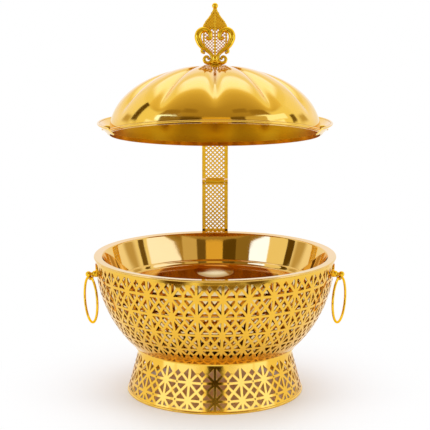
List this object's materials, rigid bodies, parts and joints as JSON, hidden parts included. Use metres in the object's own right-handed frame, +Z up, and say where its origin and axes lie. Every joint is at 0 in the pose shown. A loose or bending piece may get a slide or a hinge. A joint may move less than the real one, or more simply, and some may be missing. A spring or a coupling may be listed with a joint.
{
  "type": "chafing dish",
  "caption": "Round gilt chafing dish with star-pierced bowl and foot, ring handles and a fluted dome lid carried on a folding arm.",
  "frame": {"origin": "centre of the foot, on the plane of the hem's flat resting face", "axes": "+Z up along the dish's axis, -Y to the front, +X to the right of someone facing the front"},
  "size_m": [0.392, 0.3735, 0.575],
  "materials": {
    "gilt_brass": "polished",
    "amber_brass": "polished",
    "dark_steel": "darkened",
    "fuel_tin": "satin"
  },
  "bodies": {
    "stand": {"foot_hem": "gilt_brass", "foot_skirt": "gilt_brass", "foot_collar": "gilt_brass", "bowl_base": "gilt_brass", "base_screws": "dark_steel", "base_nuts": "dark_steel", "bowl_shell": "gilt_brass", "bowl_hoop": "gilt_brass", "inner_bowl": "amber_brass", "burner_ring": "dark_steel", "burner_cup": "gilt_brass", "fuel_can": "fuel_tin", "water_pan": "amber_brass", "food_pan": "gilt_brass", "handle_plates": "gilt_brass", "left_lug": "gilt_brass", "right_lug": "gilt_brass", "lug_nuts": "dark_steel", "arm_bracket": "gilt_brass", "bracket_screws": "dark_steel", "base_hinge_pin": "dark_steel"},
    "left_ring": {"left_ring": "gilt_brass"},
    "right_ring": {"right_ring": "gilt_brass"},
    "lower_arm": {"lower_frame": "gilt_brass", "lower_mesh": "gilt_brass", "lower_rivets": "dark_steel", "knee_pin": "dark_steel"},
    "upper_arm": {"upper_frame": "gilt_brass", "upper_mesh": "gilt_brass", "upper_rivets": "dark_steel", "lid_hinge_pin": "dark_steel"},
    "cradle": {"lid_cradle": "gilt_brass", "cradle_bracket": "gilt_brass", "cradle_rivets": "dark_steel", "pivot_screws": "dark_steel"},
    "lid": {"lid_dome": "gilt_brass", "lid_rim": "gilt_brass", "pivot_bosses": "gilt_brass", "finial_stud": "dark_steel", "finial_nut": "dark_steel", "finial_rosette": "gilt_brass", "finial_collar": "gilt_brass", "finial_wings": "gilt_brass", "finial_scrolls": "gilt_brass", "finial_ball": "gilt_brass"}
  },
  "joints": [
    {"name": "arm_fold", "type": "hinge", "parent": "stand", "child": "lower_arm", "pos_m": [0, 0.188, 0.173], "axis": [-1, 0, 0], "range_deg": [0, 79]},
    {"name": "knee", "type": "hinge", "parent": "lower_arm", "child": "upper_arm", "pos_m": [0, 0.188, 0.2865], "axis": [-1, 0, 0], "range_deg": [-158, 0]},
    {"name": "lid_level", "type": "hinge", "parent": "upper_arm", "child": "cradle", "pos_m": [0, 0.188, 0.4], "axis": [-1, 0, 0], "range_deg": [0, 79]},
    {"name": "lid_tilt", "type": "hinge", "parent": "cradle", "child": "lid", "pos_m": [0, 0, 0.3947], "axis": [-1, 0, 0], "range_deg": [-13.01, 0]},
    {"name": "left_ring_lift", "type": "hinge", "parent": "stand", "child": "left_ring", "pos_m": [-0.18219, -0.03873, 0.1798], "axis": [-0.3584, 0.9336, 0], "range_deg": [0, 100]},
    {"name": "right_ring_lift", "type": "hinge", "parent": "stand", "child": "right_ring", "pos_m": [0.18219, -0.03873, 0.1798], "axis": [-0.3584, -0.9336, 0], "range_deg": [0, 100]}
  ],
  "couplings": [
    {"joint": "knee", "follows": "arm_fold", "ratio": -2},
    {"joint": "lid_level", "follows": "arm_fold", "ratio": 1},
    {"joint": "lid_tilt", "follows": "arm_fold", "ratio": -0.16456}
  ]
}
